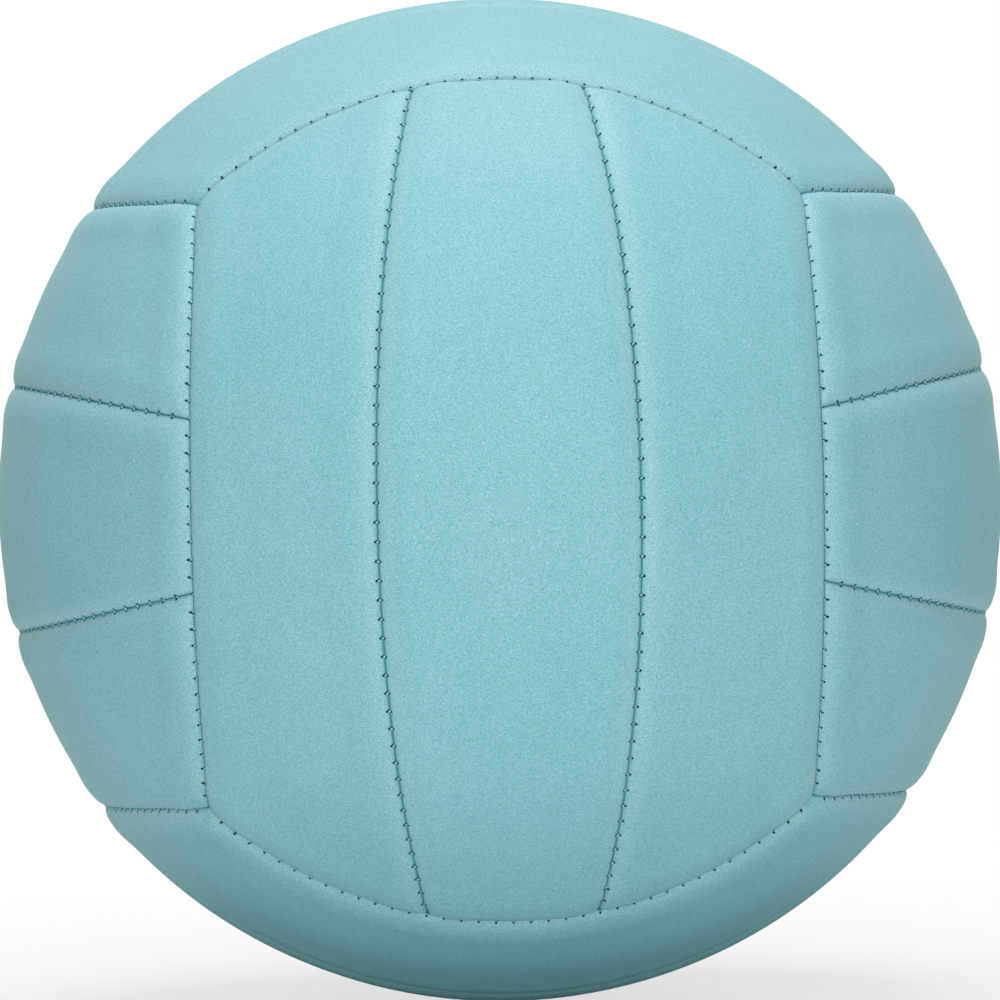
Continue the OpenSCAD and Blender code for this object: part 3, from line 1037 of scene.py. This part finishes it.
one_stitch = stitch_mesh()
print(f"one stitch: {len(one_stitch.polygons)} faces")

# %% Stitches along a seam
STITCH_DEPTH, DEPTH_CHANCE = 0.74 * MM, 0.06
STITCH_TURN, TURN_CHANCE = math.radians(18), 0.25
chance = random.Random(18)


def add_stitches(bm, seam, last, turn):
    """Copies the stitch along a seam of the front group, turned into its own group."""
    for k in range(-last, last + 1):
        out, forward = seam_place(seam, k * seam.pitch / (BALL_R * math.sin(seam.polar)))
        across = np.cross(forward, out)
        place = Matrix((across, forward, out)).transposed().to_4x4()
        depth = STITCH_DEPTH + chance.uniform(-DEPTH_CHANCE, DEPTH_CHANCE) * MM
        place.translation = Vector(out * (BALL_R + valley_rise(out) - depth))
        angle = seam.lean * STITCH_TURN + chance.uniform(-TURN_CHANCE, TURN_CHANCE)
        lean = Matrix.Rotation(angle, 4, "Z")
        before = len(bm.verts)
        bm.from_mesh(one_stitch)
        bm.verts.ensure_lookup_table()
        bmesh.ops.transform(bm, matrix=turn @ place @ lean, verts=bm.verts[before:])


# %% Sew the strip seams and the group seams
LINE_CLEAR = {"strip": 0.9 * MM, "group": 0.6 * MM}
SEWN = (
    ("strip", strip_seam, strip_span, strip_last),
    ("group", group_seam, group_span, group_last),
)
for kind, seams, span, last in SEWN:
    shade_lines, stitches = bmesh.new(), bmesh.new()
    for turn, _ in GROUPS.values():
        for seam in seams.values():
            line = line_mesh(seam, span, LINE_CLEAR[kind])
            line.transform(turn)
            shade_lines.from_mesh(line)
            bpy.data.meshes.remove(line)
            add_stitches(stitches, seam, last, turn)
    node = f"{kind}_seam_threads"
    # The lines are dark cords of painted shade; the stitches are the thread.
    for name, bm, material in (
        (f"{kind}_seam_shade_lines", shade_lines, valley_shade_cord),
        (f"{kind}_seam_stitches", stitches, stitch_thread),
    ):
        mesh = mesh_from(bm, name)
        mesh.shade_smooth()
        add_piece(name, mesh, node, material)
        print(name, len(mesh.polygons), "faces")
bpy.data.meshes.remove(one_stitch)

# %% [markdown]
# ## The studio
#
# The photograph was made with a long lens and a broad soft light from above, in front of white.
# The floor is pale and keeps the ball's shadow. The world is white to the camera and in
# reflections, but as a light on the ball it is dim, so that the lamps shape the ball.

# %% Floor and world
FLOOR_HALF = 3.0
FLOOR_GAP = 0.8 * MM
FLOOR_DARK, FLOOR_PALE = (0.86, 0.86, 0.86), (0.92, 0.92, 0.92)
FLOOR_ROUGHNESS = 0.9
SPECKLE_SCALE = 60
# To the camera the floor glows, by this share near the ball and wholly farther away.
NEAR_GLOW = 0.7
SHADOW_REACH, WHITE_REACH = 0.14, 0.45
WORLD_LIGHT = 0.2
WHITE = (1.0, 1.0, 1.0)


def floor_material():
    material, tree, shader, place = new_material("pale_floor")
    speckle = add_noise(tree, place, SPECKLE_SCALE, 2)
    plug(tree, shader.inputs["Base Color"], mix_colors(tree, speckle, FLOOR_DARK, FLOOR_PALE))
    plug(tree, shader.inputs["Roughness"], FLOOR_ROUGHNESS)
    glow = tree.nodes.new("ShaderNodeEmission")
    seen = tree.nodes.new("ShaderNodeLightPath").outputs["Is Camera Ray"]
    length = tree.nodes.new("ShaderNodeVectorMath")
    length.operation = "LENGTH"
    plug(tree, length.inputs[0], place)
    reach = length.outputs["Value"]
    away = map_range(tree, reach, SHADOW_REACH, WHITE_REACH, NEAR_GLOW, 1)
    mixed = tree.nodes.new("ShaderNodeMixShader")
    plug(tree, mixed.inputs[0], add_math(tree, "MULTIPLY", seen, away))
    plug(tree, mixed.inputs[1], shader.outputs[0])
    plug(tree, mixed.inputs[2], glow.outputs[0])
    plug(tree, tree.nodes["Material Output"].inputs["Surface"], mixed.outputs[0])
    return material


bm = bmesh.new()
bmesh.ops.create_grid(bm, x_segments=2, y_segments=2, size=FLOOR_HALF)
bmesh.ops.translate(bm, verts=bm.verts[:], vec=(0, 0, cad_low.z - FLOOR_GAP))
floor = add_object("floor", mesh_from(bm, "floor"))
floor.data.materials.append(floor_material())

world = bpy.data.worlds.new("studio")
bpy.context.scene.world = world
world.use_nodes = True
tree = world.node_tree
rays = tree.nodes.new("ShaderNodeLightPath").outputs
seen = rays["Is Camera Ray"]
for kind in ("Is Glossy Ray", "Is Transmission Ray"):
    seen = add_math(tree, "MAXIMUM", seen, rays[kind])
background = tree.nodes["Background"].inputs
plug(tree, background["Color"], WHITE)
plug(tree, background["Strength"], map_range(tree, seen, 0, 1, WORLD_LIGHT, 1))
print("floor and world made")

# %% Lamps


def soft_lamp(name, place, size, power, color=WHITE):
    """A square soft box that looks at the ball."""
    lamp = bpy.data.lights.new(name, "AREA")
    lamp.shape = "SQUARE"
    lamp.size = size
    lamp.energy = power
    lamp.color = color
    item = add_object(name, lamp)
    item.location = place
    item.rotation_euler = (-Vector(place)).to_track_quat("-Z", "Y").to_euler()
    print(f"lamp {name}: {size} m wide, {power} W")


soft_lamp("overhead", (0.0, 0.05, 1.25), 0.8, 11.5, (1.0, 0.92, 0.94))
soft_lamp("high_front", (0.0, -0.7, 1.3), 0.9, 6.5, (1.0, 0.94, 0.96))
soft_lamp("front", (0.0, -1.9, 0.1), 2.0, 16.5)
soft_lamp("low_front", (0.0, -0.9, -0.05), 0.3, 2.5)

# %% Camera at the photograph's place
# The ball's outline has this radius in the picture, which is so many pixels wide.
OUTLINE_PIXELS = 502
PICTURE_PIXELS = 1000
# How far away the camera is, in radii of the ball.
DISTANCE_SHARE = 11.5
SENSOR_WIDTH = 36
ROLL = math.radians(-1.11)
YAW = math.radians(1.01)
NOD = math.radians(0.04)
camera_data = bpy.data.cameras.new("camera")
camera_data.sensor_width = SENSOR_WIDTH
focal_pixels = OUTLINE_PIXELS * math.sqrt(DISTANCE_SHARE**2 - 1)
camera_data.lens = focal_pixels / PICTURE_PIXELS * SENSOR_WIDTH
camera = add_object("camera", camera_data)
straight = Matrix.Rotation(math.pi / 2, 4, "X")
straight.translation = (0, -DISTANCE_SHARE * BALL_R, 0)
ball_turn = Matrix.Rotation(YAW, 4, "Z") @ Matrix.Rotation(ROLL, 4, "Y")
ball_turn @= Matrix.Rotation(NOD, 4, "X")
camera.matrix_world = ball_turn.inverted() @ straight
bpy.context.scene.camera = camera
bpy.context.scene.view_settings.view_transform = "Standard"
print(f"lens {camera_data.lens:.0f} mm, {DISTANCE_SHARE * BALL_R:.3f} m away")
